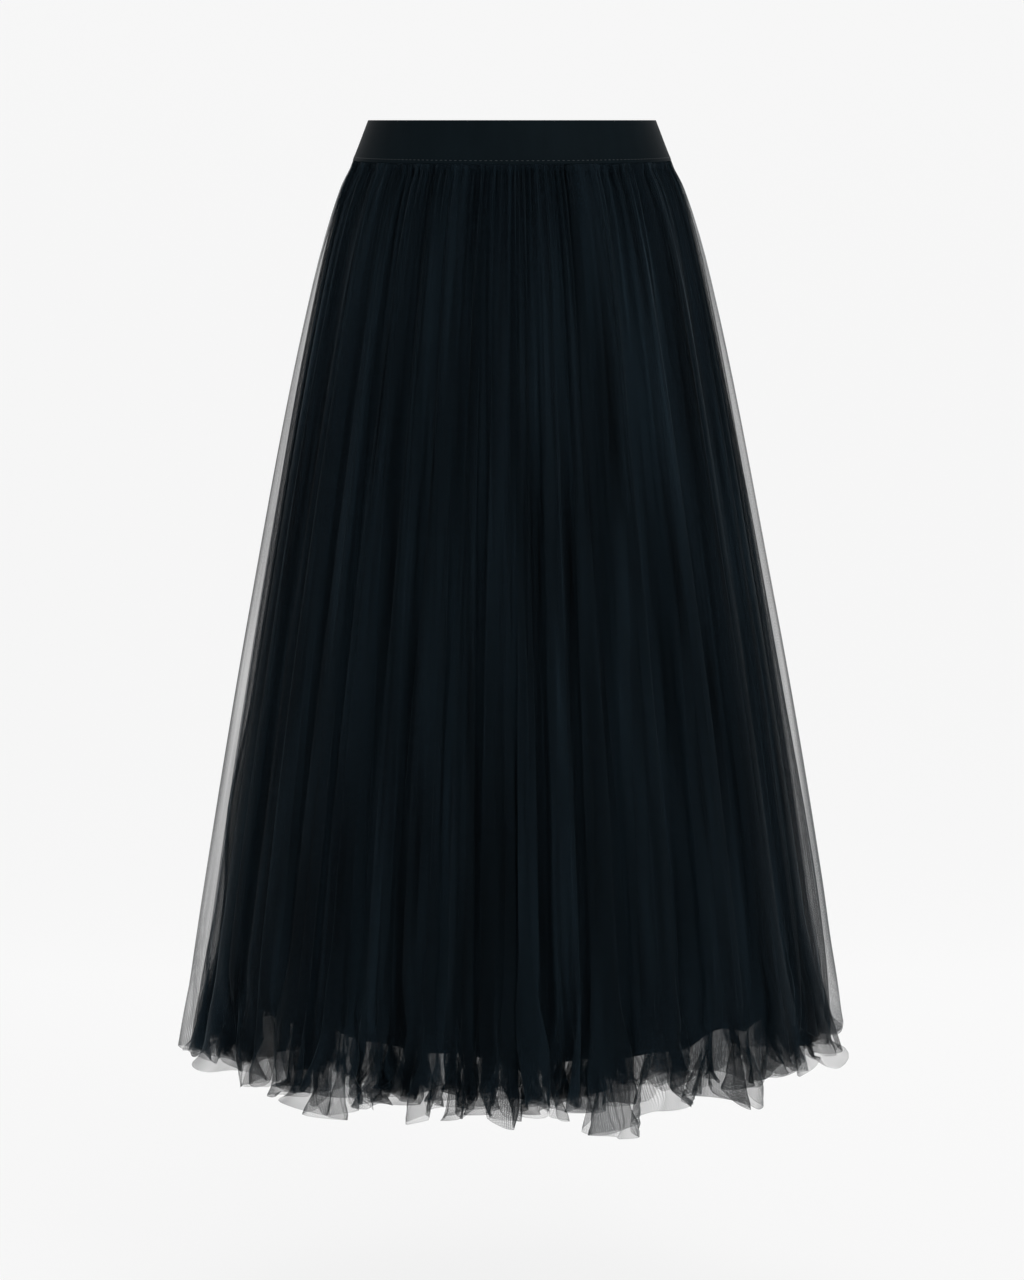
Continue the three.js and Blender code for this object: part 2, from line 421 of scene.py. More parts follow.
class Graph:
    """Adds and joins the nodes of one material or node group."""

    def __init__(self, tree: bpy.types.NodeTree) -> None:
        """Keeps the tree and clears it."""
        self.tree = tree
        tree.nodes.clear()

    def add(self, kind: str, inputs: dict | None = None, **settings: object) -> bpy.types.Node:
        """Adds a node.

        Args:
            kind: Its type, without the ShaderNode at the start.
            inputs: What goes into its inputs, by name or number: a value, or a socket to join.
            settings: Its other settings.

        Returns:
            The new node.
        """
        prefix = "" if kind.startswith("Node") else "ShaderNode"
        node = self.tree.nodes.new(prefix + kind)
        for name, value in settings.items():
            setattr(node, name, value)
        self.feed(node, inputs or {})
        return node

    def feed(self, node: bpy.types.Node, inputs: dict) -> None:
        """Fills a node's inputs.

        Args:
            node: The node.
            inputs: What goes into its inputs, by name or number: a value, or a socket to join.
        """
        for key, value in inputs.items():
            if isinstance(value, bpy.types.NodeSocket):
                self.tree.links.new(value, node.inputs[key])
            else:
                node.inputs[key].default_value = value

    def math(self, operation: str, *values: object, clamp: bool = False) -> bpy.types.NodeSocket:
        """Adds a Math node and gives its result.

        Args:
            operation: What it does.
            values: Its numbers or sockets, in order.
            clamp: True to keep the result between 0 and 1.

        Returns:
            The result's socket.
        """
        node = self.add("Math", dict(enumerate(values)), operation=operation, use_clamp=clamp)
        return node.outputs[0]

    def ramp(self, value: object, low: float, high: float, start: float, end: float) -> object:
        """Maps a value from low and high to start and end, smoothly and without going past.

        Args:
            value: The socket to map.
            low: Where the change starts.
            high: Where the change ends.
            start: The result at low.
            end: The result at high.

        Returns:
            The result's socket.
        """
        inputs = {"Value": value, "From Min": low, "From Max": high, "To Min": start, "To Max": end}
        return self.add("MapRange", inputs, interpolation_type="SMOOTHSTEP").outputs["Result"]


class SocketKind(Enum):
    """What a node group's socket carries."""

    NUMBER = "NodeSocketFloat"
    VECTOR = "NodeSocketVector"
    COLOUR = "NodeSocketColor"


class Effect:
    """A node group that several finishes share. It is built once, when it is first placed."""

    name = ""
    takes: dict[str, SocketKind] = {}
    gives: dict[str, SocketKind] = {}

    def fill(self, graph: Graph, inside: bpy.types.Node) -> dict[str, bpy.types.NodeSocket]:
        """Makes the group's nodes.

        Args:
            graph: The group's graph.
            inside: The group's input node.

        Returns:
            What each output gets.
        """
        raise NotImplementedError

    def place(self, graph: Graph, **inputs: object) -> bpy.types.Node:
        """Places the group in a material.

        Args:
            graph: The material's graph.
            inputs: The group's inputs, by name.

        Returns:
            The group's node.
        """
        tree = bpy.data.node_groups.get(self.name) or self._build()
        return graph.add("Group", inputs, node_tree=tree)

    def _build(self) -> bpy.types.NodeTree:
        """Makes the group with its sockets and returns it."""
        tree = bpy.data.node_groups.new(self.name, "ShaderNodeTree")
        for way, table in (("INPUT", self.takes), ("OUTPUT", self.gives)):
            for name, kind in table.items():
                tree.interface.new_socket(name, in_out=way, socket_type=kind.value)
        graph = Graph(tree)
        results = self.fill(graph, graph.add("NodeGroupInput"))
        graph.add("NodeGroupOutput", results)
        return tree


class HexNet(Effect):
    """The threads of a fine net with six-sided holes."""

    name = "hex_net"
    takes = {"Vector": SocketKind.VECTOR, "Hole": SocketKind.NUMBER, "Thread": SocketKind.NUMBER}
    gives = {"Threads": SocketKind.NUMBER}
    softness = 0.5

    def fill(self, graph: Graph, inside: bpy.types.Node) -> dict[str, bpy.types.NodeSocket]:
        """Adds three rows of ripples that cross at a third of a turn; threads lie in their dips.

        Args:
            graph: The group's graph.
            inside: The group's input node.

        Returns:
            The threads, 1 on a thread and 0 in a hole.
        """
        per_hole = graph.math("DIVIDE", TURN, inside.outputs["Hole"])
        total = None
        for turn in range(3):
            heading = turn * TURN / 3
            way = (math.cos(heading), math.sin(heading), 0.0)
            inputs = {0: inside.outputs["Vector"], 1: way}
            along = graph.add("VectorMath", inputs, operation="DOT_PRODUCT").outputs["Value"]
            ripple = graph.math("COSINE", graph.math("MULTIPLY", along, per_hole))
            total = ripple if total is None else graph.math("ADD", total, ripple)
        over = graph.math("SUBTRACT", inside.outputs["Thread"], total)
        return {"Threads": graph.ramp(over, -self.softness, self.softness, 0.0, 1.0)}


class ClothTone(Effect):
    """Soft differences of tone over a cloth, drawn out along its length."""

    name = "cloth_tone"
    takes = {"Vector": SocketKind.VECTOR, "Colour": SocketKind.COLOUR, "Amount": SocketKind.NUMBER}
    gives = {"Colour": SocketKind.COLOUR, "Tone": SocketKind.NUMBER}
    streaks = (90.0, 90.0, 3.0)
    streak_detail = 3.0
    clouds = 14.0
    cloud_detail = 2.0

    def fill(self, graph: Graph, inside: bpy.types.Node) -> dict[str, bpy.types.NodeSocket]:
        """Mixes fine streaks along the cloth with broad clouds.

        Args:
            graph: The group's graph.
            inside: The group's input node.

        Returns:
            The toned colour, and the tone about 0.
        """
        vector = inside.outputs["Vector"]
        drawn = graph.add("VectorMath", {0: vector, 1: self.streaks}, operation="MULTIPLY")
        streak = graph.add("TexNoise", {
            "Vector": drawn.outputs[0], "Scale": 1.0, "Detail": self.streak_detail,
        })
        cloud = graph.add("TexNoise", {
            "Vector": vector, "Scale": self.clouds, "Detail": self.cloud_detail,
        })
        both = graph.math("ADD", streak.outputs["Fac"], cloud.outputs["Fac"])
        tone = graph.math("SUBTRACT", both, 1.0)
        gain = graph.math("MULTIPLY_ADD", tone, inside.outputs["Amount"], 1.0)
        colour = graph.add("VectorMath", {0: inside.outputs["Colour"], 1: gain}, operation="MULTIPLY")
        return {"Colour": colour.outputs[0], "Tone": tone}


class Weave(Effect):
    """The height of a plain weave, over and under in squares of the cloth."""

    name = "weave"
    takes = {"Vector": SocketKind.VECTOR, "Across": SocketKind.NUMBER, "Along": SocketKind.NUMBER}
    gives = {"Height": SocketKind.NUMBER}

    def fill(self, graph: Graph, inside: bpy.types.Node) -> dict[str, bpy.types.NodeSocket]:
        """Crosses two rows of ripples.

        Args:
            graph: The group's graph.
            inside: The group's input node.

        Returns:
            The height, from 0 to 1.
        """
        parts = graph.add("SeparateXYZ", {0: inside.outputs["Vector"]})
        ripples = []
        for axis, pitch in (("X", "Across"), ("Y", "Along")):
            share = graph.math("DIVIDE", parts.outputs[axis], inside.outputs[pitch])
            ripples.append(graph.math("SINE", graph.math("MULTIPLY", share, TURN)))
        crossed = graph.math("MULTIPLY", *ripples)
        return {"Height": graph.math("MULTIPLY_ADD", crossed, 0.5, 0.5)}


def new_material(name: str) -> tuple[bpy.types.Material, Graph, bpy.types.Node]:
    """Starts a material.

    Args:
        name: The material's name.

    Returns:
        The material, its graph, and its surface shader, joined to the output.
    """
    material = bpy.data.materials.new(name)
    material.use_nodes = True
    graph = Graph(material.node_tree)
    shader = graph.add("BsdfPrincipled")
    graph.add("OutputMaterial", {"Surface": shader.outputs["BSDF"]})
    return material, graph, shader


@dataclass(frozen=True)
class NetFinish:
    """Soft blue-black net: sheer face on, denser where it turns away or is bunched, and lighter toward
    the seam, which is painted light from above.
    """

    name: str
    cover_in_holes: float
    cover_on_threads: float
    colour: RGBA = (0.0058, 0.0108, 0.0150, 1.0)
    hole: float = 0.00115
    thread_level: float = -0.05
    streak_share: float = 0.45
    least_cosine: float = 0.40
    cut_edge: float = 0.0011
    cover_at_cut: float = 0.45
    roughness: float = 0.7
    specular: float = 0.04
    sheen: float = 0.07
    sheen_roughness: float = 0.30
    sheen_tint: RGBA = (0.72, 0.90, 1.0, 1.0)
    # How far the bunching values lighten the colour: random tone, plus painted light from above toward
    # the seam.
    tone: float = 1.3

    def build(self) -> bpy.types.Material:
        """Makes the material.

        Returns:
            The material.
        """
        material, graph, shader = new_material(self.name)
        flat = graph.add("UVMap", uv_map="cloth").outputs["UV"]
        net = HexNet().place(graph, Vector=flat, Hole=self.hole, Thread=self.thread_level)
        cover = graph.add("MapRange", {
            "Value": net.outputs["Threads"],
            "To Min": self.cover_in_holes, "To Max": self.cover_on_threads,
        }).outputs["Result"]
        streaks = graph.add("Attribute", attribute_name="bunching_and_painted_light").outputs["Fac"]
        gain = graph.math("MULTIPLY_ADD", streaks, self.streak_share, 1.0)
        cover = graph.math("MULTIPLY", cover, gain)
        height = graph.add("SeparateXYZ", {0: flat}).outputs["Y"]
        edge = graph.ramp(height, 0.0, self.cut_edge, self.cover_at_cut, 0.0)
        cover = graph.math("MAXIMUM", cover, edge)
        # At a blend of a half, 1 less Facing is the cosine of the angle that the cloth is seen at.
        facing = graph.add("LayerWeight", {"Blend": 0.5}).outputs["Facing"]
        cosine = graph.math("MAXIMUM", graph.math("SUBTRACT", 1.0, facing), self.least_cosine)
        thickness = graph.math("DIVIDE", 1.0, cosine)
        clear = graph.math("POWER", graph.math("SUBTRACT", 1.0, cover), thickness)
        alpha = graph.math("SUBTRACT", 1.0, clear, clamp=True)
        # The colour follows the bunching values: random streaks of tone, and painted light from above
        # that lightens the net toward the seam.
        light = graph.math("MULTIPLY_ADD", streaks, self.tone, 1.0)
        colour = graph.add("VectorMath", {0: self.colour[:3], 1: light}, operation="MULTIPLY")
        graph.feed(shader, {
            "Base Color": colour.outputs[0], "Alpha": alpha, "Roughness": self.roughness,
            "Specular IOR Level": self.specular, "Sheen Weight": self.sheen,
            "Sheen Roughness": self.sheen_roughness, "Sheen Tint": self.sheen_tint,
        })
        return material


@dataclass(frozen=True)
class WovenFinish:
    """Opaque woven cloth with soft differences of tone, rougher where its weave or tone says."""

    name: str
    colour: RGBA
    pitch_across: float
    pitch_along: float
    bump: float
    bump_height: float
    roughness: float
    rough_by_tone: float
    rough_by_weave: float
    specular: float
    tone: float

    def build(self) -> bpy.types.Material:
        """Makes the material.

        Returns:
            The material.
        """
        material, graph, shader = new_material(self.name)
        flat = graph.add("UVMap", uv_map="cloth").outputs["UV"]
        weave = Weave().place(graph, Vector=flat, Across=self.pitch_across, Along=self.pitch_along)
        height = weave.outputs["Height"]
        place = graph.add("TexCoord").outputs["Object"]
        tone = ClothTone().place(graph, Vector=place, Colour=self.colour, Amount=self.tone)
        bump = graph.add("Bump", {
            "Height": height, "Strength": self.bump, "Distance": self.bump_height,
        })
        rough = graph.math("MULTIPLY_ADD", height, self.rough_by_weave, self.roughness)
        rough = graph.math("MULTIPLY_ADD", tone.outputs["Tone"], self.rough_by_tone, rough)
        graph.feed(shader, {
            "Base Color": tone.outputs["Colour"], "Roughness": rough,
            "Normal": bump.outputs["Normal"], "Specular IOR Level": self.specular,
        })
        return material


@dataclass(frozen=True)
class ThreadFinish:
    """Sewing thread, a little lighter than the elastic, with its twist."""

    name: str = "sewing_thread"
    colour: RGBA = (0.030, 0.040, 0.046, 1.0)
    tone: float = 0.6
    twist: float = 2600.0
    bump: float = 0.3
    bump_height: float = 0.0001
    roughness: float = 0.5

    def build(self) -> bpy.types.Material:
        """Makes the material.

        Returns:
            The material.
        """
        material, graph, shader = new_material(self.name)
        place = graph.add("TexCoord").outputs["Object"]
        inputs = {"Vector": place, "Scale": self.twist}
        twist = graph.add("TexWave", inputs, bands_direction="DIAGONAL").outputs["Fac"]
        tone = ClothTone().place(graph, Vector=place, Colour=self.colour, Amount=self.tone)
        bump = graph.add("Bump", {
            "Height": twist, "Strength": self.bump, "Distance": self.bump_height,
        })
        graph.feed(shader, {
            "Base Color": tone.outputs["Colour"], "Normal": bump.outputs["Normal"],
            "Roughness": self.roughness,
        })
        return material


@dataclass(frozen=True)
class PaperFinish:
    """The pale, plain paper of the studio floor and backdrop, which has no back."""

    name: str = "studio_paper"
    colour: RGBA = (0.16, 0.16, 0.16, 1.0)
    roughness: float = 0.9
    glow: float = 0.795

    def build(self) -> bpy.types.Material:
        """Makes the material.

        Returns:
            The material.
        """
        material, graph, shader = new_material(self.name)
        behind = graph.add("NewGeometry").outputs["Backfacing"]
        graph.feed(shader, {
            "Base Color": self.colour, "Roughness": self.roughness,
            "Emission Color": WHITE, "Emission Strength": self.glow,
            "Alpha": graph.math("SUBTRACT", 1.0, behind),
        })
        return material


@dataclass(frozen=True)
class Bulge:
    """A stretch of a round's side fold, left (-1) or right (1), that swings out or in."""

    side: int
    drop: float
    spread: float
    reach: float


@dataclass(frozen=True)
class StreakLayer:
    """One size of streaks along the net: how many patches round and down, and how strong."""

    around: int
    down: int
    size: float


@dataclass(frozen=True)
class BunchingAndPaintedLight:
    """How unevenly a round is bunched: streaks along the net, at every point of its sheet, and a rise
    toward the seam that is real bunching in the net's cover and painted light from above in its colour.
    """

    layers: tuple[StreakLayer, ...] = (
        StreakLayer(72, 4, 0.30), StreakLayer(192, 5, 0.35), StreakLayer(576, 7, 0.35),
        StreakLayer(1152, 9, 0.30),
    )
    # The rise toward the seam: more net in the cover, and painted light from above in the colour.
    seam_bunching_and_painted_light: float = 0.25
    seam_fade: int = 3

    def values(self, columns: int, shares: np.ndarray, seed: int) -> np.ndarray:
        """Adds the rise toward the seam, which is partly bunching and partly painted light, to each
        layer's chance values, blended between its patches.

        Args:
            columns: Points round the sheet.
            shares: Each row's share of the way down, from 0 to 1.
            seed: Where the chance values start.

        Returns:
            A value about 0 for each row and column.
        """
        chance = np.random.default_rng(seed)
        total = np.zeros((len(shares), columns))
        # Painted light: this rise also lightens the net's colour toward the seam, as if lit from above.
        total += self.seam_bunching_and_painted_light * (1 - shares[:, None]) ** self.seam_fade
        for layer in self.layers:
            patches = chance.uniform(-1.0, 1.0, (layer.down + 1, layer.around))
            place = np.arange(columns) * layer.around / columns
            left = np.floor(place).astype(int)
            blend = smooth_step(0.0, 1.0, place - left)
            wide = patches[:, left] * (1 - blend) + patches[:, (left + 1) % layer.around] * blend
            height = shares * layer.down
            above = np.minimum(np.floor(height).astype(int), layer.down - 1)
            lower = smooth_step(0.0, 1.0, height - above)[:, None]
            total += layer.size * (wide[above] * (1 - lower) + wide[above + 1] * lower)
        return total


@dataclass(frozen=True)
class Sizes:
    """How the size of a row of small folds varies round the body: its mean, and its limits."""

    mean: float
    least: float
    most: float

    def read(self, waves: tuple[Wave, ...], u: np.ndarray) -> np.ndarray:
        """The size at each turn angle, from the waves that it varies with."""
        return np.clip(self.mean + sum_of_waves(waves, u), self.least, self.most)


@dataclass(frozen=True)
class Ruffle:
    """One size of crumpled folds near a round's hem."""

    waves: int
    height: float
    inwards: float
    sideways: float
    slant: float


RUFFLES = (
    Ruffle(19, 0.130, 0.0090, 0.0065, 14.0),
    Ruffle(37, 0.120, 0.0095, 0.0085, 30.0),
    Ruffle(71, 0.090, 0.0060, 0.0050, 70.0),
    Ruffle(131, 0.050, 0.0024, 0.0016, 150.0),
)


@dataclass
class NetRound:
    """One round of gathered net, a single sheet from the seam to its ragged cut edge."""

    name: str
    node: str
    depth_in: float
    side_share: float
    hem_drop: float
    lean: float
    ragged: float
    start: float
    seed: int
    tongues: tuple[Tongue, ...]
    bulges: tuple[Bulge, ...]
    bunching_and_painted_light: BunchingAndPaintedLight = BunchingAndPaintedLight()
    cut_top: float = 1.35
    cut_hem: float = 4.05
    points_per_fold: int = 32
    spans: tuple[RowSpan, ...] = (
        RowSpan(0.0, 0.06, 14), RowSpan(0.06, 0.76, 29), RowSpan(0.76, 1.0, 41),
    )
    gathers: int = 113
    gather_drift: tuple[Wave, ...] = (Wave(6, 0.9, 0.5), Wave(17, 0.7, 1.2), Wave(29, 0.5, 3.0))
    gather_depth: float = 0.0052
    gather_reach: float = 0.13
    gather_sizes: Sizes = Sizes(0.8, 0.25, 1.6)
    tucks: int = 229
    tuck_depth: float = 0.0030
    tuck_reach: float = 0.050
    puff_at_seam: float = 0.12
    puff_reach: float = 0.009
    pleats: int = 83
    pleat_depth: float = 0.0026
    pleat_sizes: Sizes = Sizes(0.6, 0.0, 1.5)
    pleats_from: float = 0.06
    pleats_to: float = 0.40
    hem_waves: tuple[Wave, ...] = (
        Wave(7, 0.45, 0.7), Wave(13, 0.35, 1.3), Wave(22, 0.40, 2.9), Wave(47, 0.30, 0.4),
    )
    flaps: int = 58
    flap_depth: float = 0.012
    ruffles: tuple[Ruffle, ...] = RUFFLES
    ruffle_sizes: Sizes = Sizes(0.75, 0.1, 1.5)
    ruffle_growth: float = 1.3
    ruffle_drift: float = 1.6
    ruffle_fold: float = 0.6
    slant_waves: int = 5
    size_waves: tuple[Wave, ...] = (Wave(9, 0.45, 0.3), Wave(16, 0.35, 1.9))
    side_calm: float = 0.8
    curls: tuple[Wave, ...] = (Wave(19, 0.7, 0.9), Wave(31, 0.6, 2.0))
    curl_height: float = 0.022
    curl_out: float = 0.010
    curl_up: float = 0.010

    def hem_line(self, u: np.ndarray, plan: FoldPlan) -> np.ndarray:
        """Finds where the cut edge lies.

        Args:
            u: Turn angles.
            plan: The main folds.

        Returns:
            The hem's drop at each turn angle.
        """
        line = self.hem_drop + self.ragged * sum_of_waves(self.hem_waves, u + self.start)
        drifted = self.flaps / 2 * u + sum_of_waves(self.gather_drift, u - self.start)
        line = line + self.flap_depth * (np.abs(np.cos(drifted + self.start)) - 0.5)
        angle = np.degrees(plan.base_angle(u))
        for tongue in self.tongues:
            apart = (angle - tongue.angle + 180) % 360 - 180
            line = line + tongue.reach * np.exp(-((apart / tongue.spread) ** 4))
        return line

    def points(self, outline: Outline, plan: FoldPlan) -> tuple[np.ndarray, np.ndarray]:
        """Works out the sheet's points.

        Args:
            outline: The garment's outline.
            plan: The main folds.

        Returns:
            The points, and how far each lies above the hem.
        """
        columns = plan.count * self.points_per_fold
        u = np.arange(columns)[None, :] * TURN / columns
        top = seam_drop(plan.base_angle(u)) + SEAM_GAP
        hem = self.hem_line(u, plan)
        drop = top + (hem - top) * row_shares(self.spans)
        above = hem - drop
        inset = self.depth_in * outline.read("layer_gap", drop) * seam_share(drop - top)
        inset = inset + outline.read("fold_depth", drop) * plan.depth_share(u, drop)
        side = self.side_share + np.zeros_like(drop)
        for bulge in self.bulges:
            near = np.exp(-(((drop - bulge.drop) / bulge.spread) ** 2))
            side += bulge.reach * near * (np.sign(np.sin(u)) == bulge.side)
        inset = inset - outline.read("side_fold", drop) * side * plan.side_share(u)
        inset = inset + self.gather_inset(u, drop - top) + self.pleat_inset(u, drop)
        angle = plan.angle(u, self.lean, drop)
        calm = 1 - self.side_calm * plan.side_share(u)
        ruffled, turned = (calm * shift for shift in self.ruffle_shift(u, above))
        out, up = (calm * shift for shift in self.curl_shift(u, above))
        angle = angle + turned / outline.read("half_width", drop)
        placed = outline.points(angle, inset + ruffled - out, drop)
        placed[..., 2] += up
        return placed, above

    def gather_inset(self, u: np.ndarray, below: np.ndarray) -> np.ndarray:
        """Finds how far the fine gathers and tucks at the seam take each point in.

        Args:
            u: Turn angles.
            below: How far each point lies below the seam.

        Returns:
            How far inwards.
        """
        phase = self.gathers * u + sum_of_waves(self.gather_drift, u + self.start)
        puff = smooth_rise(self.puff_at_seam, self.puff_reach, below)
        size = self.gather_sizes.read(self.size_waves, u + self.start)
        fade = np.exp(-below / (self.gather_reach * size))
        tuck_phase = self.tucks * u + sum_of_waves(self.gather_drift, u * 2 + self.start)
        tuck = self.tuck_depth * np.exp(-below / self.tuck_reach) * (1 - np.cos(tuck_phase)) / 2
        return self.gather_depth * puff * fade * (1 - np.cos(phase)) / 2 + tuck * puff

    def pleat_inset(self, u: np.ndarray, drop: np.ndarray) -> np.ndarray:
        """Finds how far the middling folds between the main ones take each point in.

        Args:
            u: Turn angles.
            drop: How far down each point lies.

        Returns:
            How far inwards.
        """
        down = smooth_step(self.pleats_from, self.pleats_to, drop)
        phase = self.pleats * u + sum_of_waves(self.gather_drift, u + self.start) + self.start
        size = self.pleat_sizes.read(self.size_waves, u - self.start)
        return self.pleat_depth * size * down * (1 - np.cos(phase)) / 2

    def ruffle_shift(self, u: np.ndarray, above: np.ndarray) -> tuple[np.ndarray, np.ndarray]:
        """Finds how far the crumpled folds near the hem move each point.

        Args:
            u: Turn angles.
            above: How far each point lies above the hem.

        Returns:
            How far inwards, and how far round.
        """
        inwards, around = np.zeros_like(above), np.zeros_like(above)
        for number, ruffle in enumerate(self.ruffles):
            start = self.start * (number + 2)
            grown = np.clip(1 - above / ruffle.height, 0.0, 1.0) ** self.ruffle_growth
            size = self.ruffle_sizes.read(self.size_waves, u + start) * grown
            drift = self.ruffle_drift * sum_of_waves(self.gather_drift, u + start)
            slant = ruffle.slant * above * np.sin(self.slant_waves * u + start)
            phase = ruffle.waves * u + drift + slant + start
            inwards += ruffle.inwards * size * np.cos(phase)
            around += ruffle.sideways * size * np.sin(2 * phase + self.ruffle_fold)
        return inwards, around

    def curl_shift(self, u: np.ndarray, above: np.ndarray) -> tuple[np.ndarray, np.ndarray]:
        """Finds how far the cut edge curls.

        Args:
            u: Turn angles.
            above: How far each point lies above the hem.

        Returns:
            How far outwards, and how far up.
        """
        curl = np.clip(sum_of_waves(self.curls, u + self.start), 0.0, 1.0)
        grown = np.clip(1 - above / self.curl_height, 0.0, 1.0) ** 2
        return self.curl_out * curl * grown, self.curl_up * curl * grown

    def build(self, outline: Outline, plan: FoldPlan, material: bpy.types.Material) -> bpy.types.Object:
        """Makes the sheet and dresses it.

        Args:
            outline: The garment's outline.
            plan: The main folds.
            material: The net.

        Returns:
            The finished piece.
        """
        points, above = self.points(outline, plan)
        steps = np.linalg.norm(np.roll(points, -1, axis=1) - points, axis=-1)
        around = steps.sum(axis=1)
        across = np.concatenate([[0.0], np.cumsum(steps[-1])]) * self.cut_hem / around[-1]
        sheet = SheetMesh(self.name, points, across, above)
        shares = row_shares(self.spans)[:, 0]
        sheet.add_number("bunching_and_painted_light", self.bunching_and_painted_light.values(points.shape[1], shares, self.seed))
        piece = sheet.smoothed()
        dress(piece, material, "net", self.node)
        LOG.info("%s: %.2f m round the seam, %.2f m round the hem", self.name, around[0], around[-1])
        return piece


@dataclass
class Lining:
    """The opaque lining, softly fluted, with a turned and stitched hem."""

    name: str = "lining_cloth"
    node: str = "lining"
    hem_drop: float = 0.779
    hem_dip: float = 0.009
    lift: Tongue = Tongue(-50, 24, -0.017)
    hem_waves: tuple[Wave, ...] = (
        Wave(5, 0.003, 0.4), Wave(11, 0.003, 1.1), Wave(18, 0.002, 0.6),
    )
    flutes: int = 18
    flute_share: float = 0.22
    start: float = 0.6
    clearance: float = 0.0016
    allowance: float = 0.003
    seam_reach: float = 0.011
    ease: float = 0.0075
    ease_reach: float = 0.13
    depth_in: float = 3.8
    deepest: float = 1.2
    cut_width: float = 1.45
    cut_length: float = 0.745
    columns: int = 288
    turned_hem: float = 0.012
    hem_thickness: float = 0.0008
    hem_step: float = 0.001
    spans: tuple[RowSpan, ...] = (
        RowSpan(0.0, 0.05, 10), RowSpan(0.05, 0.1, 3), RowSpan(0.1, 0.94, 22),
        RowSpan(0.94, 1.0, 8),
    )

    def build(self, outline: Outline, material: bpy.types.Material) -> bpy.types.Object:
        """Makes the lining and dresses it.

        Args:
            outline: The garment's outline.
            material: The lining cloth.

        Returns:
            The finished piece.
        """
        angle = np.arange(self.columns)[None, :] * TURN / self.columns
        top = seam_drop(angle) - self.allowance
        hem = self.hem_drop + self.hem_dip * np.cos(angle)
        apart = (np.degrees(angle) - self.lift.angle + 180) % 360 - 180
        hem = hem + self.lift.reach * np.exp(-((apart / self.lift.spread) ** 2))
        hem = hem + sum_of_waves(self.hem_waves, angle)
        drop = top + (hem - top) * row_shares(self.spans)
        fold_depth = outline.read("fold_depth", drop)
        inset = self.depth_in * outline.read("layer_gap", drop) + fold_depth * self.deepest
        wave = (1 - np.cos(self.flutes * angle + self.start)) / 2
        above = hem - drop
        stitched = self.turned_hem + self.hem_step
        ridge = self.hem_thickness * smooth_step(stitched, self.turned_hem, above)
        inset = inset + self.clearance + fold_depth * self.flute_share * wave
        sewn = BAND_WALL - SEAM_GAP
        inset = inset + self.ease * np.exp(-(drop - top) / self.ease_reach)
        inset = sewn + (inset - sewn) * smooth_step(0.0, self.seam_reach, drop - top) - ridge
        points = outline.points(angle, inset, drop)
        steps = np.linalg.norm(np.roll(points, -1, axis=1) - points, axis=-1)
        across = np.concatenate([[0.0], np.cumsum(steps[-1])])
        piece = SheetMesh(self.name, points, across, above).smoothed()
        dress(piece, material, "lining", self.node)
        LOG.info("%s: %.2f m round the hem", self.name, across[-1])
        return piece


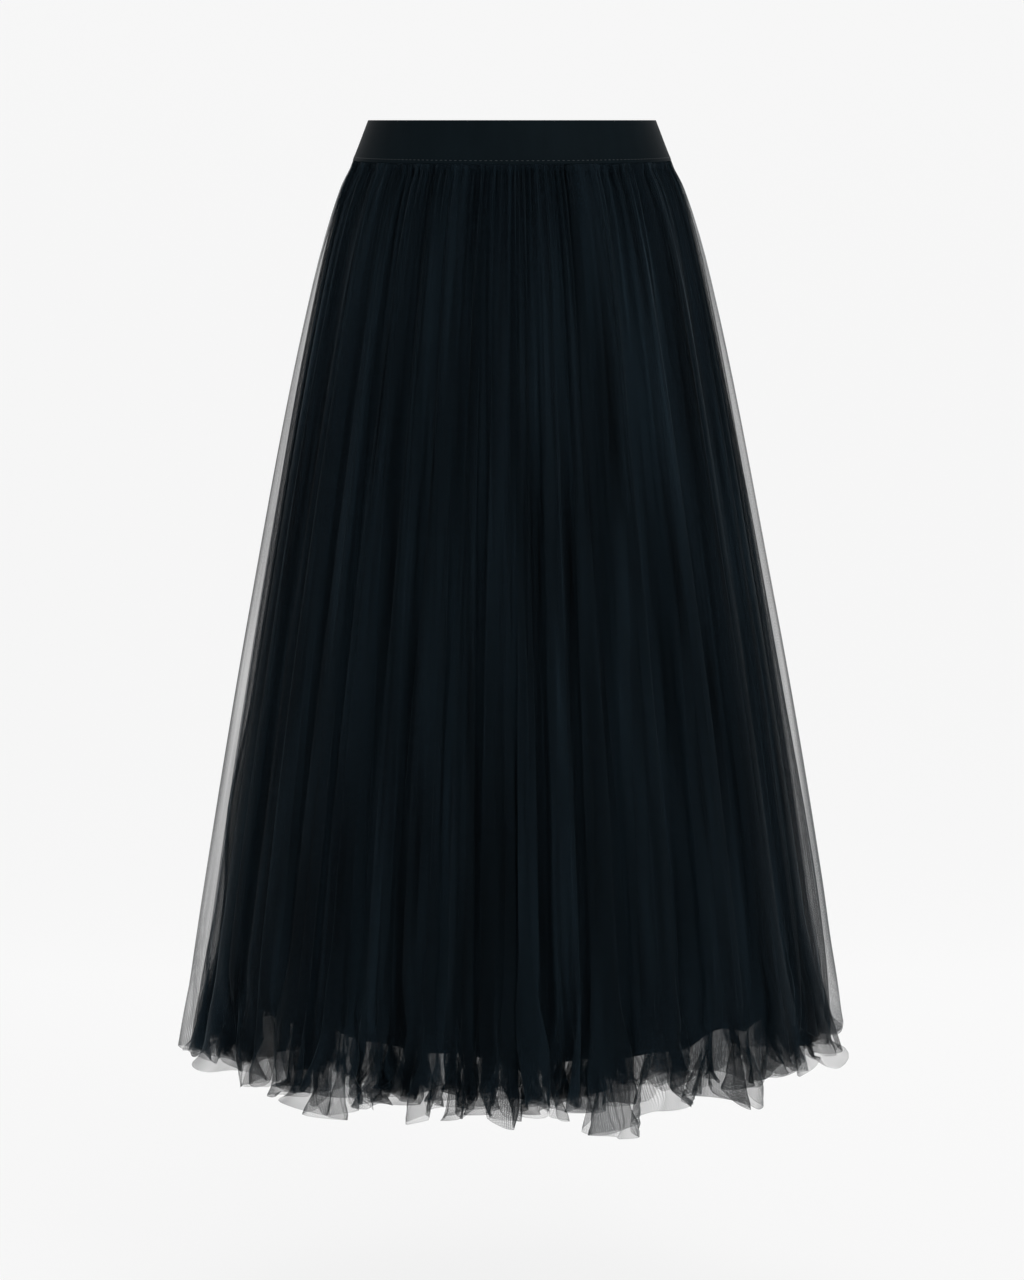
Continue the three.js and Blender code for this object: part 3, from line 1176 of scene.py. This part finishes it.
@dataclass
class Waistband:
    """The wide elastic waistband, drawn in at the top and rounded at both edges."""

    name: str = "waistband_elastic"
    node: str = "waistband"
    points_around: int = 192
    edge_radius: float = 0.0006
    edge_steps: int = 3
    steps_down: int = 6

    def build(self, outline: Outline, material: bpy.types.Material) -> bpy.types.Object:
        """Extrudes a ring down the band, gives it its thickness and rounds its edges.

        Args:
            outline: The garment's outline.
            material: The elastic.

        Returns:
            The finished piece.
        """
        bpy.ops.object.select_all(action="DESELECT")
        wide, deep, shift = self.ring(outline, 0.0)
        bpy.ops.mesh.primitive_circle_add(
            vertices=self.points_around, radius=1.0, location=(0.0, shift, GRIP_DROP),
        )
        band = bpy.context.object
        band.name = band.data.name = self.name
        bpy.ops.object.mode_set(mode="EDIT")
        bpy.ops.mesh.select_all(action="SELECT")
        self.scale_ring(wide, deep, (0.0, shift, GRIP_DROP))
        for step in range(1, self.steps_down + 1):
            self.extrude_to(outline, step)
        bpy.ops.mesh.select_all(action="SELECT")
        bpy.ops.mesh.normals_make_consistent(inside=False)
        bpy.ops.object.mode_set(mode="OBJECT")
        bpy.ops.object.transform_apply(location=True, rotation=True, scale=True)
        self.flatten_cloth(band)
        wall = band.modifiers.new("wall", "SOLIDIFY")
        wall.thickness, wall.offset, wall.use_even_offset = BAND_WALL, -1.0, True
        rounded = band.modifiers.new("edges", "BEVEL")
        rounded.width, rounded.segments = self.edge_radius, self.edge_steps
        rounded.limit_method = "ANGLE"
        for modifier in (wall, rounded):
            bpy.ops.object.modifier_apply(modifier=modifier.name)
        bpy.ops.object.shade_smooth()
        dress(band, material, "elastic", self.node)
        return band

    def ring(self, outline: Outline, drop: float) -> tuple[float, float, float]:
        """The half width, half depth and back shift of the band at a drop."""
        names = ("half_width", "half_depth", "back_shift")
        return tuple(float(outline.read(name, np.array(drop))) for name in names)

    def scale_ring(self, wide: float, deep: float, centre: tuple[float, float, float]) -> None:
        """Scales the selected ring about its own centre."""
        bpy.ops.transform.resize(value=(wide, deep, 1.0), center_override=centre)

    def extrude_to(self, outline: Outline, step: int) -> None:
        """Extrudes the selected ring one step further down the band.

        Args:
            outline: The garment's outline.
            step: Which step it is, from 1.
        """
        before = BAND_SIDE_DROP * (step - 1) / self.steps_down
        after = BAND_SIDE_DROP * step / self.steps_down
        wide, deep, shift = self.ring(outline, after)
        was_wide, was_deep, was_shift = self.ring(outline, before)
        move = {"value": (0.0, shift - was_shift, before - after)}
        bpy.ops.mesh.extrude_edges_move(TRANSFORM_OT_translate=move)
        centre = (0.0, shift, GRIP_DROP - after)
        self.scale_ring(wide / was_wide, deep / was_deep, centre)
        dip = math.asin(BAND_FRONT_DIP / self.steps_down / deep)
        bpy.ops.transform.rotate(value=-dip, orient_axis="X", center_override=centre)

    def flatten_cloth(self, band: bpy.types.Object) -> None:
        """Lays the band out flat as its UV map, in metres.

        Args:
            band: The band, before it has its thickness.
        """
        mesh = band.data
        layer = mesh.uv_layers.new(name="cloth")
        radius = max(abs(vertex.co.x) for vertex in mesh.vertices)
        for polygon in mesh.polygons:
            middle = math.atan2(polygon.center.x, -polygon.center.y)
            for loop in polygon.loop_indices:
                place = mesh.vertices[mesh.loops[loop].vertex_index].co
                turn = math.atan2(place.x, -place.y)
                turn += TURN * round((middle - turn) / TURN)
                layer.data[loop].uv = (turn * radius, place.z)


@dataclass
class Topstitch:
    """The line of stitches just above the band's lower edge."""

    name: str = "topstitch"
    stitches: int = 196
    length: float = 0.0023
    thread: float = 0.00022
    above_edge: float = 0.0027
    proud: float = 0.00010

    def build(self, outline: Outline, material: bpy.types.Material) -> bpy.types.Object:
        """Shapes one stitch, copies it round the band and joins the copies.

        Args:
            outline: The garment's outline.
            material: The thread.

        Returns:
            The finished piece.
        """
        bpy.ops.object.select_all(action="DESELECT")
        bpy.ops.mesh.primitive_uv_sphere_add(segments=8, ring_count=6, radius=1.0)
        first = bpy.context.object
        bpy.ops.object.mode_set(mode="EDIT")
        bpy.ops.mesh.select_all(action="SELECT")
        bpy.ops.transform.resize(value=(self.length / 2, self.thread, self.thread))
        bpy.ops.object.mode_set(mode="OBJECT")
        bpy.ops.object.shade_smooth()
        copies = [self.copy_to(first, outline, number) for number in range(self.stitches)]
        bpy.data.objects.remove(first)
        bpy.ops.object.select_all(action="DESELECT")
        for copy in copies:
            copy.select_set(True)
        bpy.context.view_layer.objects.active = copies[0]
        bpy.ops.object.transform_apply(location=True, rotation=True, scale=True)
        bpy.ops.object.join()
        line = bpy.context.object
        line.name = line.data.name = self.name
        dress(line, material, "elastic")
        return line

    def copy_to(self, first: bpy.types.Object, outline: Outline, number: int) -> bpy.types.Object:
        """Copies the stitch to its place on the band.

        Args:
            first: The stitch to copy.
            outline: The garment's outline.
            number: Which stitch it is.

        Returns:
            The copy, with its own mesh.
        """
        copy = first.copy()
        copy.data = first.data.copy()
        bpy.context.scene.collection.objects.link(copy)
        angle = np.array(number * TURN / self.stitches)
        drop = seam_drop(angle) - self.above_edge
        place = outline.points(angle, np.array(-self.proud), drop)
        ahead = outline.points(angle + 0.01, np.array(-self.proud), drop)
        copy.location = Vector(place)
        copy.rotation_euler = Vector(ahead - place).to_track_quat("X", "Z").to_euler()
        return copy


@dataclass
class Studio:
    """The pale floor and backdrop, and the light that comes from all round."""

    floor_drop: float = 1.06
    half_width: float = 4.0
    front: float = -4.5
    back: float = 2.6
    height: float = 4.0
    sweep: float = 1.2
    sweep_steps: int = 32
    near: float = 0.01
    sky: float = 0.45
    seen_sky: float = 0.92

    def build(self) -> bpy.types.Object:
        """Makes one sheet of paper that runs along the floor and sweeps up behind.

        Returns:
            The paper.
        """
        bpy.ops.object.select_all(action="DESELECT")
        bpy.ops.mesh.primitive_plane_add(size=2.0)
        paper = bpy.context.object
        paper.name = paper.data.name = "studio_paper"
        floor = GRIP_DROP - self.floor_drop
        middle, reach = (self.front + self.back) / 2, (self.back - self.front) / 2
        bpy.ops.object.mode_set(mode="EDIT")
        bpy.ops.mesh.select_all(action="SELECT")
        bpy.ops.transform.resize(value=(self.half_width, reach, 1.0))
        bpy.ops.transform.translate(value=(0.0, middle, floor))
        bpy.ops.mesh.select_all(action="DESELECT")
        bpy.ops.object.mode_set(mode="OBJECT")
        for edge in paper.data.edges:
            ends = [paper.data.vertices[i].co.y for i in edge.vertices]
            edge.select = min(ends) > self.back - self.near
        bpy.ops.object.mode_set(mode="EDIT")
        bpy.ops.mesh.select_mode(type="EDGE")
        move = {"value": (0.0, 0.0, self.height)}
        bpy.ops.mesh.extrude_edges_move(TRANSFORM_OT_translate=move)
        bpy.ops.object.mode_set(mode="OBJECT")
        for edge in paper.data.edges:
            ends = [paper.data.vertices[i].co for i in edge.vertices]
            off = [max(abs(end.y - self.back), abs(end.z - floor)) for end in ends]
            edge.select = max(off) < self.near
        bpy.ops.object.mode_set(mode="EDIT")
        bpy.ops.mesh.bevel(offset=self.sweep, segments=self.sweep_steps, profile=0.5)
        bpy.ops.object.mode_set(mode="OBJECT")
        bpy.ops.object.shade_smooth()
        paper.data.materials.append(PaperFinish().build())
        self.light_world()
        return paper

    def light_world(self) -> None:
        """Fills the room with even, neutral light, and shows it as pale as the paper."""
        world = bpy.data.worlds.new("studio")
        world.use_nodes = True
        graph = Graph(world.node_tree)
        seen = graph.add("LightPath").outputs["Is Camera Ray"]
        strength = graph.math("MULTIPLY_ADD", seen, self.seen_sky - self.sky, self.sky)
        light = graph.add("Background", {"Color": WHITE, "Strength": strength})
        graph.add("OutputWorld", {"Surface": light.outputs[0]})
        bpy.context.scene.world = world


@dataclass(frozen=True)
class SoftLight:
    """One large area light, aimed at a point on the skirt."""

    name: str
    place: tuple[float, float, float]
    aim: tuple[float, float, float]
    width: float
    height: float
    watts: float

    def build(self) -> bpy.types.Object:
        """Makes the light.

        Returns:
            The light.
        """
        data = bpy.data.lights.new(self.name, "AREA")
        data.shape, data.size, data.size_y = "RECTANGLE", self.width, self.height
        data.energy = self.watts
        light = bpy.data.objects.new(self.name, data)
        light.location = self.place
        look = Vector(self.aim) - Vector(self.place)
        light.rotation_euler = look.to_track_quat("-Z", "Y").to_euler()
        bpy.context.scene.collection.objects.link(light)
        return light


@dataclass(frozen=True)
class Viewpoint:
    """The camera, level with the waistband's top edge and pitched down."""

    away: float = 3.4
    pitch: float = 7.58
    long_side_pixels: int = 1280
    focal_pixels: float = 3908.0
    sensor: float = 36.0

    def build(self) -> bpy.types.Object:
        """Makes the camera and makes it the scene's.

        Returns:
            The camera.
        """
        data = bpy.data.cameras.new("photo_view")
        data.sensor_width = self.sensor
        data.lens = self.focal_pixels / self.long_side_pixels * self.sensor
        camera = bpy.data.objects.new("photo_view", data)
        camera.location = (0.0, -self.away, GRIP_DROP)
        camera.rotation_euler = (math.radians(90.0 - self.pitch), 0.0, 0.0)
        bpy.context.scene.collection.objects.link(camera)
        bpy.context.scene.camera = camera
        return camera


NET_ROUNDS = (
    NetRound(
        "net_round_1", "tulle_layer_1", depth_in=0.0, side_share=1.0, hem_drop=0.817,
        lean=0.30, ragged=0.008, start=0.2, seed=11,
        tongues=(
            Tongue(-104, 5, 0.012), Tongue(-36, 6, 0.011), Tongue(19, 5, 0.021),
            Tongue(84, 10, -0.014), Tongue(121, 6, 0.009), Tongue(172, 5, 0.010),
        ),
        bulges=(Bulge(1, 0.55, 0.30, 0.45),),
    ),
    NetRound(
        "net_round_2", "tulle_layer_2", depth_in=1.8, side_share=-0.2, hem_drop=0.813,
        lean=0.70, ragged=0.010, start=1.9, seed=12,
        tongues=(Tongue(-158, 5, 0.013), Tongue(39, 7, 0.008), Tongue(96, 5, 0.008)),
        bulges=(Bulge(-1, 0.60, 0.06, 1.0), Bulge(1, 0.32, 0.16, 0.9), Bulge(1, 0.66, 0.26, 1.8)),
    ),
    NetRound(
        "net_round_3", "tulle_layer_3", depth_in=2.8, side_share=-1.0, hem_drop=0.807,
        lean=-1.8, ragged=0.010, start=3.4, seed=13,
        tongues=(Tongue(-131, 6, 0.010), Tongue(-20, 4, 0.012)),
        bulges=(Bulge(-1, 0.74, 0.05, 0.9), Bulge(1, 0.50, 0.35, 1.2)),
    ),
    NetRound(
        "net_round_4", "tulle_layer_4", depth_in=3.8, side_share=-1.3, hem_drop=0.801,
        lean=2.6, ragged=0.010, start=5.1, seed=14,
        tongues=(Tongue(-6, 4, 0.012), Tongue(147, 5, 0.012)),
        bulges=(Bulge(-1, 0.44, 0.05, 0.5), Bulge(1, 0.60, 0.20, 0.6)),
    ),
)

OUTER_NET = NetFinish("sheer_net", cover_in_holes=0.11, cover_on_threads=0.45)
INNER_NET = NetFinish("soft_net", cover_in_holes=0.17, cover_on_threads=0.61)
LINING_CLOTH = WovenFinish(
    "lining_cloth", (0.0050, 0.0078, 0.0110, 1.0), pitch_across=0.0006, pitch_along=0.0006,
    bump=0.12, bump_height=0.0002, roughness=0.6, rough_by_tone=0.15, rough_by_weave=0.0,
    specular=0.04, tone=0.5,
)
RIBBED_ELASTIC = WovenFinish(
    "ribbed_elastic", (0.0042, 0.0082, 0.0108, 1.0), pitch_across=0.0017, pitch_along=0.0013,
    bump=0.35, bump_height=0.0003, roughness=0.5, rough_by_tone=0.0, rough_by_weave=0.1,
    specular=0.03, tone=0.35,
)

LIGHTS = (
    SoftLight("key", (1.6, -2.6, 1.2), aim=(0.0, 0.0, -0.3), width=1.6, height=1.6, watts=27.0),
    SoftLight("fill", (-2.2, -2.4, 0.4), aim=(0.0, 0.0, -0.4), width=1.8, height=2.2, watts=6.0),
    SoftLight("above", (0.0, 0.2, 2.6), aim=(0.0, 0.0, -0.3), width=2.4, height=2.4, watts=15.0),
)


def main() -> None:
    """Builds the skirt, the studio and the camera, and reports each piece."""
    logging.basicConfig(level=logging.INFO, format="%(message)s")
    bpy.context.scene.view_settings.view_transform = "Standard"
    Viewpoint().build()
    Studio().build()
    for light in LIGHTS:
        light.build()
    outline, plan = Outline(SECTIONS), FoldPlan()
    outer, inner = OUTER_NET.build(), INNER_NET.build()
    pieces = [Waistband().build(outline, RIBBED_ELASTIC.build())]
    pieces.append(Topstitch().build(outline, ThreadFinish().build()))
    pieces.append(Lining().build(outline, LINING_CLOTH.build()))
    for number, net_round in enumerate(NET_ROUNDS):
        pieces.append(net_round.build(outline, plan, inner if number else outer))
    for piece in pieces:
        piece.data.calc_loop_triangles()
        LOG.info("%s: %d triangles", piece.name, len(piece.data.loop_triangles))


if __name__ == "__main__":
    main()
